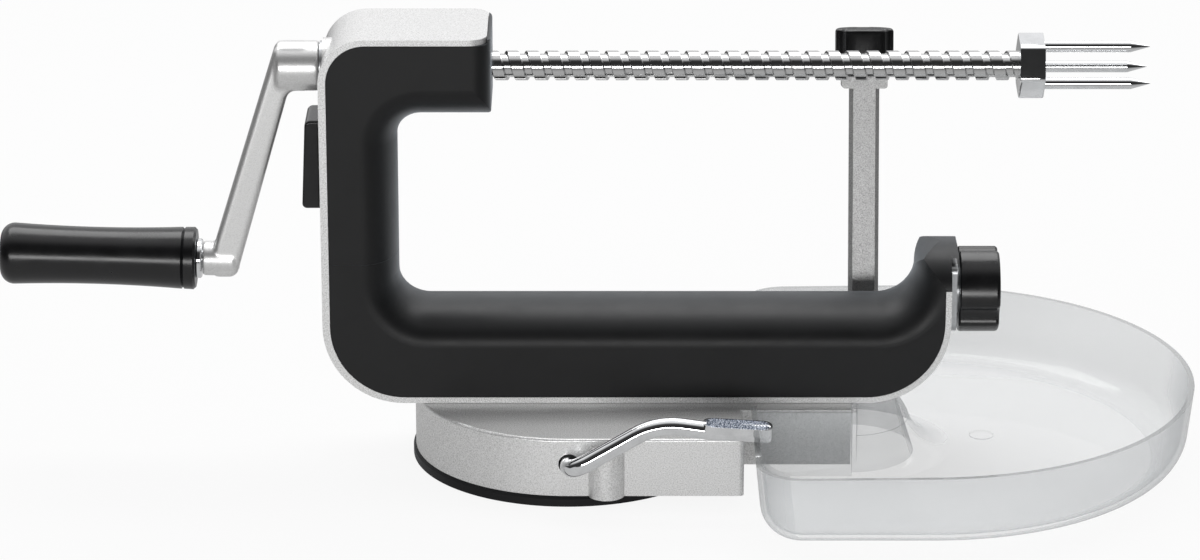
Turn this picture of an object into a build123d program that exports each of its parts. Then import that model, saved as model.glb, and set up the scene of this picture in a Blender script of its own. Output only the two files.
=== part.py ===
"""A hand cranked spiralizer: a C-shaped frame on a suction base feeds a forked lead screw.

Millimetres. X runs along the screw towards the fork, Y away from the lever, Z up.
The origin is the middle of the suction pad, on the table.
"""

from build123d import *
from math import atan, cos, degrees, radians, sin, tan
import os

os.makedirs("parts", exist_ok=True)

# Clearances
seat_gap = 0.1          # between parts that are screwed or clamped together
press_gap = 0.02        # radial, where one part is pressed on another
running_gap = 0.06      # radial, where one part turns in another
slide_gap = 0.3         # beside parts that slide

# Lead screw
screw_height = 131.5
thread_radius = 4.75
root_radius = 3.75
pitch = 6.4
crest_width = 3.6
root_width = 2.1
turn_steps = 12         # straight steps in one turn of a helix
bush_gap = 0.09         # radial, thread crests in their bushes
journal_radius = 3.5    # plain ends of the screw

# Frame: outer line
frame_back = -79.0
frame_front = 123.5
frame_width = 36.0
frame_roof = 13.7       # from the screw's axis up to the top face
base_height = 22.7
skin = 1.9
skin_back = 2.4
roof_corner = 14.5
heel_corner = 26.0
nose_corner = 27.0
arm_length = 53.6       # upper arm, from the frame's back to its silver end
front_wall = 38.2       # height of the silver wall at the nose
plan_corner = 6.0

# Throat: the inner line that the grips leave open
column_depth = 24.3
arm_drop = 14.4         # from the screw's axis down to the arm's underside
bar_depth = 30.4
nose_depth = 11.3
throat_corner_top = 8.0
throat_corner_heel = 10.0
throat_corner_nose = 12.0
grip_round = 11.5       # depth of the rounded inner side of the grips
grip_end = 1.2          # black end wall beyond the silver arm
grip_screw_radius = 1.5
grip_screw_head = 3.2
parting_height = 70.0
nose_height = 49.5      # from the frame's foot to the top of the nose
nose_round = 8.5
nose_straight = 37.2    # where the nose starts to arch, above the frame's foot
lip_height = 2.4
lip_reach = 2.4

# Ribs of the casting inside the grips
core_width = 18.0
column_wall = 4.0       # grip wall over the ribs on the column
arm_wall = 4.9
bar_wall = 4.7
nose_wall = 4.3

# Bushes, stop washer and half nut
bush_radius = 7.0
front_bush_length = 10.0
rear_bush_length = 5.0
collar_radius = 9.0
stop_washer_radius = 8.0
stop_washer_thickness = 0.9
nut_start = 7.0         # behind the column's back face
nut_length = 10.4
nut_width = 10.8
nut_drop = 2.9          # top of the half nut below the screw's axis
nut_base = 9.6          # underside of the half nut below the screw's axis
nut_gap = 0.25
release_travel = 4.0
release_height = 29.9   # half nut's carrier
spring_room = 14.0
spring_wire = 0.8
spring_radius = 4.0
spring_turns = 6

# Release button
button_bottom = 86.2
button_height = 29.4
button_depth = 6.3
button_slope = 1.3
button_width = 18.0
stem_width = 6.0
stem_height = 10.0

# Crank
hub_radius = 8.05
hub_length = 13.9
crank_throw = 65.3
crank_lean = 23.0
crank_thickness = 10.0
crank_bevel = 1.6
stub_radius = 5.6
stub_length = 14.0
handle_start = -120.4
handle_length = 63.4
handle_end_radius = 10.2
handle_waist_radius = 9.25
handle_round = 4.5
handle_tilt = 1.7
ring_place = 4.2        # groove round the handle, from its right end
spindle_radius = 3.0
ferrule_radius = 6.4
ferrule_length = 1.8
set_screw_radius = 1.5
set_screw_length = 4.2

# Fork
fork_start = 144.0
fork_hub_length = 8.1
fork_hub_corner = 10.7
fork_hub_round = 2.4
tine_circle = 6.8
tine_radius = 1.85
tine_reach = 33.7
tine_point = 6.3
tine_count = 3
tine_turn = -20.0

# Suction base
drum_radius = 50.0
base_reach = 56.2
base_wall = 2.5
dock_reach = 35.2
dock_half_width = 24.2
dock_clear = 3.9
rim_radius = 45.5
boss_x = 12.4
boss_radius = 5.9
boss_reach = 54.5
boss_top = 20.4
pad_radius = 50.8
pad_thickness = 3.3
base_screw_radius = 2.0
base_screw_head = 3.6
base_screw_spacing = 60.0
base_screw_rows = 10.0

# Suction lever
axle_x = 0.5
axle_z = 14.3
lever_radius = 2.9
lever_bend = 6.5
lever_reach = 64.0
lever_rise = 16.7
eccentric_radius = 1.7
eccentric_throw = 1.25
eccentric_angle = -75.0
rib_thickness = 3.0
rib_drop = 4.8          # below the lever's axis, clear of the lifted stem
rib_gap = 2.0
hook_width = 8.6
clip_groove = 0.5       # depth of a clip's groove
clip_thickness = 0.8
thumb_length = 22.0
thumb_width = 8.6
thumb_tilt = 3.5

# Bowl
bowl_back = 58.9
bowl_straight = 56.1
bowl_radius = 89.3
bowl_height = 25.8
bowl_height_back = 24.3
bowl_wall = 1.8
bowl_draft = 6.0
bowl_foot_round = 11.5
bowl_corner = 15.0
keyway_gap = 0.5
keyway_wall = 1.6
keyway_clear = 0.4
trumpet_top_radius = 16.4
trumpet_foot_radius = 34.5
dimple_radius = 4.0

# Peeler arm
arm_x = 97.4
arm_width = 9.9
arm_thickness = 5.0
arm_reach = 79.0
arm_lean = 13.5
arm_pivot_y = 24.0
arm_pivot_z = 34.0
arm_eye_radius = 5.4
arm_pin_radius = 2.5
arm_bevel = 1.3
head_width = 15.0
head_height = 6.4
head_thickness = 9.0
ear_radius = 5.8
ear_thickness = 3.2
arm_spring_room = 6.4
arm_spring_wire = 0.9
arm_spring_radius = 4.0
arm_spring_turns = 4
arm_knob_radius = 9.6
arm_knob_height = 12.4
arm_stud_radius = 2.0
arm_washer_radius = 7.0
arm_washer_thickness = 0.6
arm_knob_turn = 210.0

# Nose clamp
clamp_height = 55.8
clamp_stud_radius = 2.5
clamp_plate_thickness = 2.0
clamp_plate_width = 22.0
clamp_plate_height = 23.0
clamp_washer_radius = 8.0
clamp_washer_thickness = 0.7
clamp_knob_radius = 13.9
clamp_knob_length = 13.1
knob_valley_turn = 203.0

# Sizes that follow from the ones above
base_clear = pad_thickness + seat_gap
frame_foot = base_height + seat_gap
frame_top = screw_height + frame_roof
half_width = frame_width / 2
core_half = core_width / 2
arm_end = frame_back + arm_length
arm_tip = arm_end + grip_end
front_wall_top = frame_foot + front_wall
throat_back = frame_back + column_depth
throat_top = screw_height - arm_drop
throat_floor = frame_foot + bar_depth
throat_front = frame_front - nose_depth
nose_top = frame_foot + nose_height
core_column = throat_back - column_wall
core_arm = throat_top + arm_wall
core_bar = throat_floor - bar_wall
core_nose = throat_front + nose_wall
core_nose_top = front_wall_top + 5.0
core_tip = arm_end - 2.6
ear_left = arm_x - arm_width / 2 - slide_gap
ear_right = arm_x + arm_width / 2 + slide_gap + arm_spring_room
collar_face = frame_back + stop_washer_thickness
hub_end = frame_back - seat_gap
hub_start = hub_end - hub_length
nut_back = frame_back + nut_start
nut_top = screw_height - nut_drop
nut_bottom = screw_height - nut_base
carrier_bottom = nut_bottom - seat_gap - release_height
pocket_floor = carrier_bottom - spring_room
lever_ceiling = base_height - base_wall
bowl_middle = bowl_back + bowl_straight
fork_end = fork_start + fork_hub_length
cone_start = fork_end + tine_reach - tine_point
tine_shank = cone_start - fork_start - 2.1
tine_taper = degrees(atan((tine_radius - 0.12) / tine_point))


def across(depth=0.0):
    """An upright plane seen from the front: X to the right, Z up."""
    return Plane.XZ.offset(-depth)


def along(x=0.0):
    """An upright plane square to the screw: Y to the right, Z up."""
    return Plane.YZ.offset(x)


def radial(x, angle):
    """The plane square to a radius of the screw: its origin on the screw's axis."""
    out = (0, cos(radians(angle)), sin(radians(angle)))
    return Plane(origin=(x, 0, screw_height), x_dir=(1, 0, 0), z_dir=out)


def wound(axis, lead, turn):
    """The plane through the axis, turned and advanced along a helix: x along it, y outwards."""
    angle = radians(360 * turn)
    out = axis.x_dir * cos(angle) + axis.y_dir * sin(angle)
    middle = axis.origin + axis.z_dir * (lead * turn)
    return Plane(origin=middle, x_dir=axis.z_dir, z_dir=axis.z_dir.cross(out))


def coil(axis, lead, first_step, last_step, section):
    """A section, given as (along, outward) points, wound round the axis in straight steps."""
    with BuildPart() as wound_part:
        for step in range(first_step, last_step + 1):
            with BuildSketch(wound(axis, lead, step / turn_steps)):
                with BuildLine():
                    Polyline(*section, close=True)
                make_face()
        loft(ruled=True)
    return wound_part.part


def round_wire(radius, wire):
    """The eight-sided section of a spring's wire, at its coil's radius."""
    corners = [radians(45 * k + 22.5) for k in range(8)]
    return [(wire / 2 * cos(a), radius + wire / 2 * sin(a)) for a in corners]


def least_gap(axis, lead, radius, wire, turns):
    """The least open space between two turns of a spring, measured between points of its wire."""
    points = []
    for step in range(turns * turn_steps + 1):
        place = wound(axis, lead, step / turn_steps)
        points.append(place.origin + place.y_dir * radius)
    half_turn = turn_steps // 2
    near = [(a - b).length for i, a in enumerate(points) for b in points[i + half_turn:]]
    return round(min(near) - wire, 2)


def knob_face(radius, turn):
    """A round face with three soft valleys, as on a three-lobed knob."""
    with BuildSketch() as face:
        Circle(radius)
        with PolarLocations(radius * 1.19, 3, start_angle=turn):
            Circle(radius * 0.34, mode=Mode.SUBTRACT)
        fillet(face.vertices(), radius * 0.12)
    return face.sketch


def skin_line(depth, depth_back):
    """The frame's outer line moved inwards: its points, arm end first, and corner radii."""
    back = frame_back + depth_back
    points = [
        (arm_end, frame_top - depth),
        (back, frame_top - depth),
        (back, frame_foot + depth),
        (frame_front - depth, frame_foot + depth),
        (frame_front - depth, front_wall_top),
    ]
    radii = [0, roof_corner - depth, heel_corner - depth, nose_corner - depth, 0]
    return points, radii


def core_line(grow):
    """The closed line of the ribs inside the grips, grown outwards by a clearance."""
    depth = skin / 2
    points, radii = skin_line(depth, depth)
    points[0] = (core_tip + grow, frame_top - depth)
    points[-1] = (frame_front - depth, core_nose_top + grow)
    inner = [
        (core_nose - grow, core_nose_top + grow),
        (core_nose - grow, core_bar + grow),
        (core_column + grow, core_bar + grow),
        (core_column + grow, core_arm - grow),
        (core_tip + grow, core_arm - grow),
    ]
    inner_radii = [
        0,
        throat_corner_nose + nose_wall,
        throat_corner_heel + column_wall,
        throat_corner_top + column_wall,
        0,
    ]
    return points + inner, radii + inner_radii


def throat_line(gap=0.0):
    """The line round which the grips' inner side is rounded, from the arm's tip to the nose."""
    back = throat_back - grip_round
    points = [
        (arm_tip, throat_top + grip_round),
        (back, throat_top + grip_round),
        (back, throat_floor - grip_round),
        (throat_front + grip_round, throat_floor - grip_round),
        (throat_front + grip_round, nose_top + gap),
    ]
    radii = [
        throat_corner_top + grip_round,
        throat_corner_heel + grip_round,
        throat_corner_nose + grip_round,
    ]
    return points, radii


def rounded_side():
    """The half-oval section that is swept along the throat, on the current plane."""
    overlap = 2.0
    with BuildSketch() as side:
        with BuildLine():
            EllipticalCenterArc((0, 0), half_width, grip_round, arc_size=180)
            Polyline(
                (-half_width, 0),
                (-half_width, -overlap),
                (half_width, -overlap),
                (half_width, 0),
            )
        make_face()
    return side.sketch


crank_screw_axis = radial((hub_start + hub_end) / 2, 0)
fork_screw_axis = radial((fork_start + fork_end) / 2, 60)

# Lead screw: right-hand trapezoid thread, with plain ends for the crank and the fork
thread_start = nut_back - 1.5
screw_axis = Plane(origin=(thread_start, 0, screw_height), x_dir=(0, 1, 0), z_dir=(1, 0, 0))
thread_turns = (fork_start - thread_start) / pitch
flank = (pitch - crest_width - root_width) / 2
flank_slope = flank / (thread_radius - root_radius)
groove_top = thread_radius + 0.35
groove_half = root_width / 2 + flank_slope * (groove_top - root_radius)
groove = coil(
    screw_axis,
    pitch,
    -1,
    int(thread_turns * turn_steps) + 2,
    [
        (-root_width / 2, root_radius),
        (root_width / 2, root_radius),
        (groove_half, groove_top),
        (-groove_half, groove_top),
    ],
)
with BuildPart() as lead_screw:
    with BuildSketch(along(hub_end)):
        with Locations((0, screw_height)):
            Circle(thread_radius)
    extrude(amount=fork_start - hub_end)
    add(groove, mode=Mode.SUBTRACT)
    with BuildSketch(along(hub_start + 1.5)):
        with Locations((0, screw_height)):
            Circle(journal_radius)
    extrude(amount=hub_length)
    with BuildSketch(along(fork_start)):
        with Locations((0, screw_height)):
            Circle(journal_radius)
    extrude(amount=fork_hub_length - 1.5)
lead_screw.part.label = "lead_screw"
export_step(lead_screw.part, "parts/lead_screw.step")

# Screws that hold the grips, from the far side
grip_screw_places = [
    (arm_end - 22, frame_top - skin - grip_screw_head - 0.4),
    ((frame_back + core_column) / 2, (parting_height + pocket_floor) / 2),
    ((frame_back + core_column) / 2, parting_height - 18),
    (70, (frame_foot + throat_floor) / 2 - 4),
]
with BuildPart() as screw_holes:
    with BuildSketch(across(half_width)):
        with Locations(*grip_screw_places):
            Circle(grip_screw_radius + press_gap)
    extrude(amount=half_width)
with BuildPart() as screw_head_holes:
    with BuildSketch(across(half_width + 1)):
        with Locations(*grip_screw_places):
            Circle(grip_screw_head + slide_gap)
    extrude(amount=4)
with BuildPart() as grip_screws:
    with BuildSketch(across(half_width - 0.4)):
        with Locations(*grip_screw_places):
            Circle(grip_screw_head)
    extrude(amount=2.4)
    with BuildSketch(across(half_width - 0.4)):
        with Locations(*grip_screw_places):
            Circle(grip_screw_radius)
    extrude(amount=half_width - 2)
grip_screws.part.label = "grip_screws"
export_step(grip_screws.part, "parts/grip_screws.step")

# Frame casting: a thin skin round the back of the C, with ribs that the grips cover
with BuildPart() as frame_casting:
    outer_points, outer_radii = skin_line(0, 0)
    inner_points, inner_radii = skin_line(skin, skin_back)
    with BuildSketch(across()):
        with BuildLine():
            FilletPolyline(
                *outer_points,
                *reversed(inner_points),
                radius=outer_radii + inner_radii[::-1],
                close=True,
            )
        make_face()
    extrude(amount=half_width, both=True)
    core_points, core_radii = core_line(0)
    with BuildSketch(across()):
        with BuildLine():
            FilletPolyline(*core_points, radius=core_radii, close=True)
        make_face()
    extrude(amount=core_half, both=True)
    # rounded corners of the silver top, seen from above
    with BuildSketch(Plane.XY.offset(throat_top)):
        with Locations((arm_end - plan_corner / 2, 0)):
            Rectangle(plan_corner, frame_width)
        with Locations((arm_end - plan_corner, 0)):
            RectangleRounded(2 * plan_corner, frame_width, plan_corner - 0.01, mode=Mode.SUBTRACT)
    extrude(amount=frame_top - throat_top + 1, mode=Mode.SUBTRACT)
    # collar round the screw, with a flat seat for the stop washer
    with BuildSketch(along(collar_face)):
        with Locations((0, screw_height)):
            Circle(collar_radius)
    extrude(amount=rear_bush_length)
    with BuildSketch(along(collar_face)):
        with Locations((0, screw_height)):
            Circle(collar_radius + 0.3)
    extrude(amount=-2 * stop_washer_thickness, mode=Mode.SUBTRACT)
    # seats of the bushes and the way between them
    with BuildSketch(along(collar_face)):
        with Locations((0, screw_height)):
            Circle(bush_radius)
    extrude(amount=rear_bush_length, mode=Mode.SUBTRACT)
    with BuildSketch(along(collar_face)):
        with Locations((0, screw_height)):
            Circle(bush_radius - 1)
    extrude(amount=core_tip - collar_face, mode=Mode.SUBTRACT)
    with BuildSketch(along(core_tip)):
        with Locations((0, screw_height)):
            Circle(bush_radius)
    extrude(amount=-front_bush_length, mode=Mode.SUBTRACT)
    # pocket of the half nut and its carrier
    pocket_half = nut_width / 2 + slide_gap
    pocket_top = screw_height - 1
    with BuildSketch(along(nut_back - slide_gap)):
        with Locations((0, (pocket_floor + pocket_top) / 2)):
            Rectangle(2 * pocket_half, pocket_top - pocket_floor)
    extrude(amount=nut_length + 2 * slide_gap, mode=Mode.SUBTRACT)
    # slot for the release button's stem
    slot_low = button_bottom + (button_height - stem_height) / 2 - release_travel - slide_gap
    slot_high = slot_low + stem_height + release_travel + 2 * slide_gap
    with BuildSketch(along(frame_back - 1)):
        with Locations((0, (slot_low + slot_high) / 2)):
            Rectangle(stem_width + 2 * slide_gap, slot_high - slot_low)
    extrude(amount=nut_start + 1, mode=Mode.SUBTRACT)
    # ears that carry the peeler arm
    for ear_face in (ear_left - ear_thickness, ear_right):
        with BuildSketch(along(ear_face)):
            with Locations((arm_pivot_y, arm_pivot_z)):
                Circle(ear_radius)
            with Locations(((arm_pivot_y + core_half - 2) / 2, arm_pivot_z)):
                Rectangle(arm_pivot_y - core_half + 2, 2 * ear_radius)
            with Locations((arm_pivot_y, arm_pivot_z)):
                Circle(arm_pin_radius + press_gap, mode=Mode.SUBTRACT)
        extrude(amount=ear_thickness)
    # tapped holes: clamp stud, base screws
    with BuildSketch(along(core_nose - 1)):
        with Locations((0, clamp_height)):
            Circle(clamp_stud_radius + running_gap)
    extrude(amount=nose_depth + 5, mode=Mode.SUBTRACT)
    with BuildSketch(Plane.XY.offset(frame_foot - 1)):
        with GridLocations(base_screw_spacing, base_screw_rows, 2, 2):
            Circle(base_screw_radius + press_gap)
    extrude(amount=13, mode=Mode.SUBTRACT)
    add(screw_holes.part, mode=Mode.SUBTRACT)
frame_casting.part.label = "frame_casting"
export_step(frame_casting.part, "parts/frame_casting.step")

# Grips: black covers with a rounded inner side, pushed on the ribs and screwed from behind
side_profile = rounded_side()
pocket_points, pocket_radii = core_line(seat_gap)
throat_points, throat_radii = throat_line()
roof = frame_top - skin - seat_gap
column_face = frame_back + skin_back + seat_gap
foot_face = frame_foot + skin + seat_gap
cover_height = frame_top - 0.6
past_corner = throat_back + throat_corner_top + 3
with BuildPart() as upper_grip:
    with BuildSketch(across()):
        with BuildLine():
            FilletPolyline(
                throat_points[0],
                throat_points[1],
                (throat_points[1][0], parting_height),
                (frame_back, parting_height),
                (frame_back, frame_top),
                (arm_tip, frame_top),
                radius=[0, throat_radii[0], 0, 0, 0, 0],
                close=True,
            )
        make_face()
    extrude(amount=half_width, both=True)
    with BuildLine(across()) as upper_throat:
        FilletPolyline(
            throat_points[0],
            throat_points[1],
            (throat_points[1][0], parting_height),
            radius=throat_radii[0],
        )
    with BuildSketch(
        Plane(origin=(arm_tip, 0, throat_top + grip_round), x_dir=(0, 1, 0), z_dir=(-1, 0, 0))
    ):
        add(side_profile)
    sweep(path=upper_throat.wires()[0])
    with BuildSketch(across()):
        with BuildLine():
            FilletPolyline(
                (arm_tip, cover_height),
                (arm_end + seat_gap, cover_height),
                (arm_end + seat_gap, roof),
                (column_face, roof),
                (column_face, parting_height + seat_gap / 2),
                (past_corner, parting_height + seat_gap / 2),
                (past_corner, throat_top),
                (arm_tip, throat_top),
                radius=[0.8, 0, 0, roof_corner - skin - seat_gap, 0, 0, 0, 4.0],
                close=True,
            )
        make_face()
    extrude(amount=half_width, both=True, mode=Mode.INTERSECT)
    with BuildSketch(Plane.XY.offset(throat_top - 1)):
        with Locations((arm_tip - plan_corner / 2, 0)):
            Rectangle(plan_corner, frame_width + 1)
        with Locations((arm_tip - plan_corner, 0)):
            RectangleRounded(2 * plan_corner, frame_width, plan_corner - 0.01, mode=Mode.SUBTRACT)
    extrude(amount=frame_top - throat_top + 1, mode=Mode.SUBTRACT)
    with BuildSketch(across()):
        with BuildLine():
            FilletPolyline(*pocket_points, radius=pocket_radii, close=True)
        make_face()
    extrude(amount=core_half + seat_gap, both=True, mode=Mode.SUBTRACT)
    with BuildSketch(along(core_tip)):
        with Locations((0, screw_height)):
            Circle(thread_radius + slide_gap)
    extrude(amount=arm_tip - core_tip + 1, mode=Mode.SUBTRACT)
    with BuildSketch(along(frame_back)):
        with Locations((0, screw_height)):
            Circle(collar_radius + seat_gap)
    extrude(amount=rear_bush_length + 1 + seat_gap, mode=Mode.SUBTRACT)
    add(screw_holes.part, mode=Mode.SUBTRACT)
    add(screw_head_holes.part, mode=Mode.SUBTRACT)
upper_grip.part.label = "upper_grip"
export_step(upper_grip.part, "parts/upper_grip.step")

nose_edge = nose_top - nose_round - 0.1
arch_base = frame_foot + nose_straight
with BuildPart() as lower_grip:
    with BuildSketch(across()):
        with BuildLine():
            FilletPolyline(
                (throat_points[2][0], parting_height),
                throat_points[2],
                throat_points[3],
                throat_points[4],
                (frame_front + lip_reach + 1, nose_top),
                (frame_front + lip_reach + 1, frame_foot),
                (frame_back, frame_foot),
                (frame_back, parting_height),
                radius=[0, throat_radii[1], throat_radii[2], 0, 0, 0, 0, 0],
                close=True,
            )
        make_face()
    extrude(amount=half_width, both=True)
    with BuildLine(across()) as lower_throat:
        FilletPolyline(
            (throat_points[2][0], parting_height),
            throat_points[2],
            throat_points[3],
            throat_points[4],
            radius=[throat_radii[1], throat_radii[2]],
        )
    with BuildSketch(
        Plane(origin=(throat_points[2][0], 0, parting_height), x_dir=(0, 1, 0), z_dir=(0, 0, -1))
    ):
        add(side_profile)
    sweep(path=lower_throat.wires()[0])
    with BuildSketch(across()):
        with BuildLine():
            FilletPolyline(
                (column_face, parting_height - seat_gap / 2),
                (column_face, foot_face),
                (frame_front - skin - seat_gap, foot_face),
                (frame_front - skin - seat_gap, front_wall_top + seat_gap),
                (frame_front, front_wall_top + seat_gap),
                (frame_front, nose_top - lip_height),
                (frame_front + lip_reach, nose_top - lip_height),
                (frame_front + lip_reach, nose_top),
                (throat_front, nose_top),
                (throat_front, nose_edge),
                (throat_front - nose_corner, nose_edge),
                (throat_front - nose_corner, parting_height - seat_gap / 2),
                radius=[
                    0,
                    heel_corner - skin - seat_gap,
                    nose_corner - skin - seat_gap,
                    0,
                    0,
                    0,
                    0,
                    0.6,
                    nose_round,
                    0,
                    0,
                    0,
                ],
                close=True,
            )
        make_face()
    extrude(amount=half_width, both=True, mode=Mode.INTERSECT)
    with BuildSketch(along(throat_front - nose_corner)):
        with Locations((0, (nose_top + arch_base) / 2 + 1)):
            Rectangle(frame_width + 2, nose_top - arch_base + 2)
        with Locations((0, arch_base)):
            Ellipse(half_width, nose_top - arch_base, mode=Mode.SUBTRACT)
    extrude(amount=nose_corner + nose_depth + lip_reach + 1, mode=Mode.SUBTRACT)
    with BuildSketch(across()):
        with BuildLine():
            FilletPolyline(*pocket_points, radius=pocket_radii, close=True)
        make_face()
    extrude(amount=core_half + seat_gap, both=True, mode=Mode.SUBTRACT)
    for ear_face in (ear_left - ear_thickness, ear_right):
        with BuildSketch(along(ear_face - seat_gap)):
            with Locations(((core_half + half_width) / 2, arm_pivot_z)):
                Rectangle(half_width - core_half + 2, 2 * (ear_radius + seat_gap))
        extrude(amount=ear_thickness + 2 * seat_gap, mode=Mode.SUBTRACT)
    with BuildSketch(along(core_nose)):
        with Locations((0, clamp_height)):
            Circle(clamp_stud_radius + slide_gap)
    extrude(amount=-4, mode=Mode.SUBTRACT)
    add(screw_holes.part, mode=Mode.SUBTRACT)
    add(screw_head_holes.part, mode=Mode.SUBTRACT)
lower_grip.part.label = "lower_grip"
export_step(lower_grip.part, "parts/lower_grip.step")

# Bushes
with BuildPart() as front_bush:
    with BuildSketch(along(core_tip - front_bush_length)):
        with Locations((0, screw_height)):
            Circle(bush_radius - press_gap)
            Circle(thread_radius + bush_gap, mode=Mode.SUBTRACT)
    extrude(amount=front_bush_length)
front_bush.part.label = "front_bush"
export_step(front_bush.part, "parts/front_bush.step")

with BuildPart() as rear_bush:
    with BuildSketch(along(collar_face + press_gap)):
        with Locations((0, screw_height)):
            Circle(bush_radius - press_gap)
            Circle(thread_radius + bush_gap, mode=Mode.SUBTRACT)
    extrude(amount=rear_bush_length - 2 * press_gap)
rear_bush.part.label = "rear_bush"
export_step(rear_bush.part, "parts/rear_bush.step")

with BuildPart() as stop_washer:
    with BuildSketch(along(hub_end + press_gap)):
        with Locations((0, screw_height)):
            Circle(stop_washer_radius)
            Circle(thread_radius + slide_gap, mode=Mode.SUBTRACT)
    extrude(amount=collar_face - hub_end - 2 * press_gap)
stop_washer.part.label = "stop_washer"
export_step(stop_washer.part, "parts/stop_washer.step")

# Half nut: a toothed block under the screw, held up by its sprung carrier
ridge = coil(
    screw_axis,
    pitch,
    0,
    int((nut_length + 4) / pitch * turn_steps) + 1,
    [
        (nut_gap - root_width / 2, root_radius + nut_gap),
        (root_width / 2 - nut_gap, root_radius + nut_gap),
        (root_width / 2 - nut_gap + flank_slope * 1.6, root_radius + nut_gap + 1.6),
        (nut_gap - root_width / 2 - flank_slope * 1.6, root_radius + nut_gap + 1.6),
    ],
)
with BuildPart() as half_nut:
    with BuildSketch(along(nut_back)):
        with Locations((0, (nut_top + nut_bottom) / 2)):
            Rectangle(nut_width, nut_top - nut_bottom)
        with Locations((0, screw_height)):
            Circle(thread_radius + nut_gap, mode=Mode.SUBTRACT)
    extrude(amount=nut_length)
    add(ridge)
    with BuildSketch(along(nut_back)):
        with Locations((0, (nut_top + nut_bottom) / 2)):
            Rectangle(nut_width, nut_top - nut_bottom)
    extrude(amount=nut_length, mode=Mode.INTERSECT)
half_nut.part.label = "half_nut"
export_step(half_nut.part, "parts/half_nut.step")

# Release slider: carrier of the half nut, with its stem and the button at the frame's back
with BuildPart() as release_slider:
    with BuildSketch(along(nut_back)):
        with Locations((0, nut_bottom - seat_gap - release_height / 2)):
            Rectangle(nut_width, release_height)
    extrude(amount=nut_length)
    with BuildSketch(along(nut_back + 1)):
        with Locations((0, button_bottom + button_height / 2)):
            Rectangle(stem_width, stem_height)
    extrude(amount=-nut_start - 2)
    with BuildSketch(across()):
        with BuildLine():
            FilletPolyline(
                (frame_back - slide_gap, button_bottom),
                (frame_back - slide_gap, button_bottom + button_height),
                (frame_back - button_depth + button_slope, button_bottom + button_height),
                (frame_back - button_depth, button_bottom),
                radius=[0, 0, 2.0, 1.5],
                close=True,
            )
        make_face()
    extrude(amount=button_width / 2, both=True)
    fillet(
        release_slider.faces().filter_by(Axis.Y).group_by(Axis.Y)[0].edges()
        + release_slider.faces().filter_by(Axis.Y).group_by(Axis.Y)[-1].edges(),
        0.8,
    )
release_slider.part.label = "release_slider"
export_step(release_slider.part, "parts/release_slider.step")

spring_axis = Plane(
    origin=(nut_back + nut_length / 2, 0, pocket_floor + spring_wire / 2 + seat_gap),
    x_dir=(1, 0, 0),
    z_dir=(0, 0, 1),
)
spring_lead = (spring_room - spring_wire - 2 * seat_gap) / spring_turns
spring_steps = spring_turns * turn_steps
with BuildPart() as release_spring:
    add(coil(spring_axis, spring_lead, 0, spring_steps, round_wire(spring_radius, spring_wire)))
release_spring.part.label = "release_spring"
export_step(release_spring.part, "parts/release_spring.step")
spring_gap = least_gap(spring_axis, spring_lead, spring_radius, spring_wire, spring_turns)
print("release spring, least gap between turns:", spring_gap)

# Crank: hub, leaning arm and stub, cast in one
stub_z = screw_height - crank_throw
stub_left = handle_start + ferrule_length + seat_gap
stub_right = stub_left + stub_length
lean = radians(handle_tilt)
handle_axis = Plane(
    origin=(handle_start, 0, stub_z), x_dir=(0, 1, 0), z_dir=(-cos(lean), 0, sin(lean))
)
with BuildPart() as crank_web:
    with BuildSketch(across()):
        with BuildLine():
            FilletPolyline(
                (hub_end - 4, screw_height + hub_radius - 0.6),
                (hub_start + 0.6, screw_height + hub_radius - 0.6),
                (hub_start + 0.6 - crank_lean, stub_z + stub_radius - 0.4),
                (stub_left + 1.0, stub_z - stub_radius + 0.4),
                (stub_right - 3.0, stub_z - stub_radius + 0.4),
                (hub_start + 4.4, screw_height - hub_radius + 0.2),
                (hub_end - 4, screw_height - hub_radius + 0.2),
                radius=[0, 3.2, 0, 0, 6.0, 3.0, 0],
                close=True,
            )
        make_face()
    extrude(amount=crank_thickness / 2, both=True)
    web_faces = crank_web.faces().filter_by(Axis.Y)
    chamfer(web_faces.edges(), crank_bevel)
with BuildPart() as crank_arm:
    with BuildSketch(along(hub_start)):
        with Locations((0, screw_height)):
            Circle(hub_radius)
    extrude(amount=hub_length)
    fillet(crank_arm.faces().sort_by(Axis.X)[0].edges(), 2.5)
    fillet(crank_arm.faces().sort_by(Axis.X)[-1].edges(), 0.6)
    add(crank_web.part)
    with BuildSketch(handle_axis.offset(-ferrule_length - seat_gap)):
        Circle(stub_radius)
    extrude(amount=-stub_length)
    with BuildSketch(along(hub_end)):
        with Locations((0, screw_height)):
            Circle(journal_radius + press_gap)
    extrude(amount=1.4 - hub_length, mode=Mode.SUBTRACT)
    with BuildSketch(handle_axis.offset(-ferrule_length)):
        Circle(spindle_radius + press_gap)
    extrude(amount=1 - stub_length, mode=Mode.SUBTRACT)
    with BuildSketch(across(hub_radius + 1)):
        with Locations(((hub_start + hub_end) / 2, screw_height)):
            Circle(set_screw_radius + press_gap)
    extrude(amount=hub_radius + 1 - journal_radius, mode=Mode.SUBTRACT)
crank_arm.part.label = "crank_arm"
export_step(crank_arm.part, "parts/crank_arm.step")

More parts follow.
